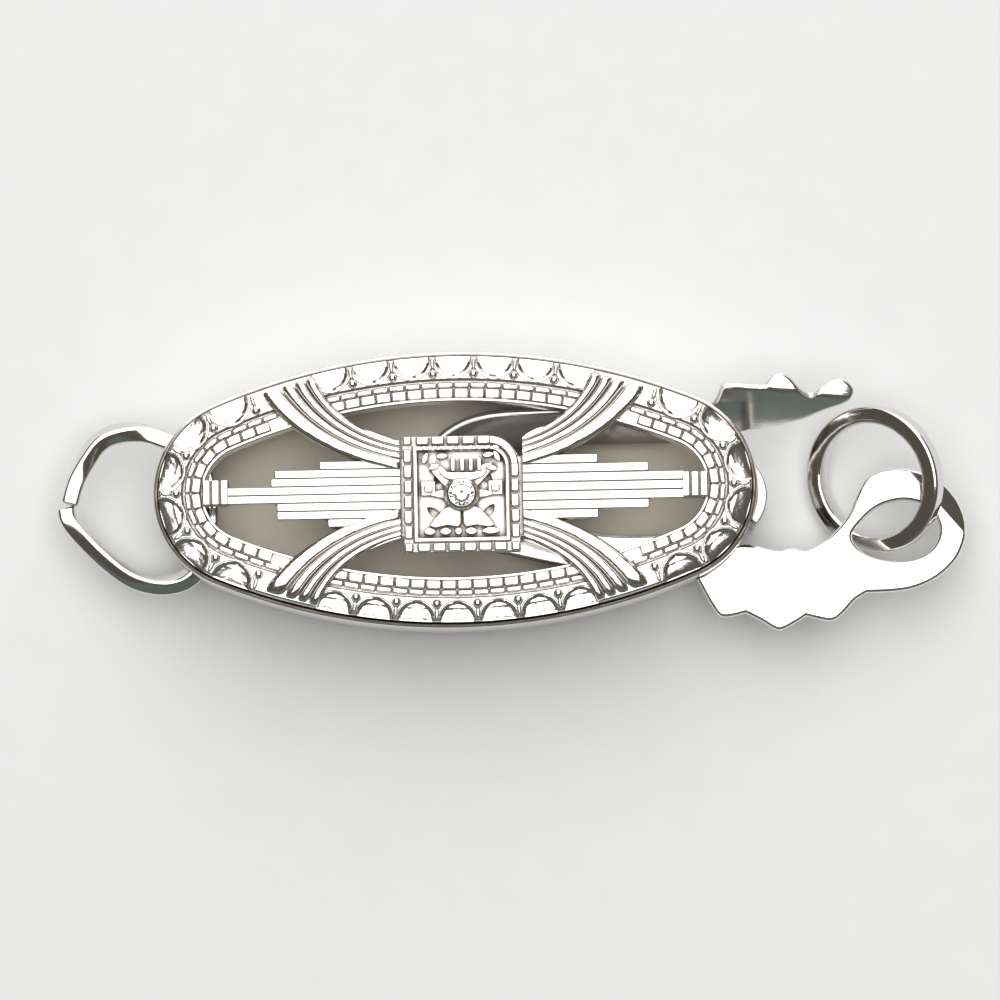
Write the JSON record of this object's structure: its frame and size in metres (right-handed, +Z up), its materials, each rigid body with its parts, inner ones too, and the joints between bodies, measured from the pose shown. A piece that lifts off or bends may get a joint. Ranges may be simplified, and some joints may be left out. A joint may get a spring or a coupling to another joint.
{
  "type": "jewellery clasp",
  "caption": "Oval filigree fish-hook clasp: a pierced box with a stepped, grained front, a springy scalloped hook that slides out of its mouth, and wire rings for the strings.",
  "frame": {"origin": "centre of the oval back's outer face, which the clasp lies on", "axes": "+X along the oval towards the mouth and the hook, +Y across the oval, +Z up out of the front"},
  "size_m": [0.0244, 0.0075, 0.0042],
  "materials": {
    "box_metal": "white gold sheet, polished outside and dull with age inside",
    "cast_front": "bright cast white gold, bead-blasted in the hollows and burnished on the ridges",
    "grained_plaque": "bright-cut white gold with a milled grain edge",
    "stone": "clear single-cut stone",
    "spring_sheet": "hard-rolled white gold sheet, mirror polished, with fine wear scratches",
    "drawn_wire": "drawn and bent white gold wire, polished, with wear marks"
  },
  "bodies": {
    "case": {"box_shell": "box_metal", "filigree_front": "cast_front", "centre_plaque": "grained_plaque", "centre_stone": "stone", "end_ring": "drawn_wire"},
    "hook": {"hook": "spring_sheet", "jump_ring": "drawn_wire"}
  },
  "joints": [
    {"name": "hook_slide", "type": "slide", "parent": "case", "child": "hook", "axis": [1, 0, 0], "range_m": [0, 0.0035]}
  ]
}
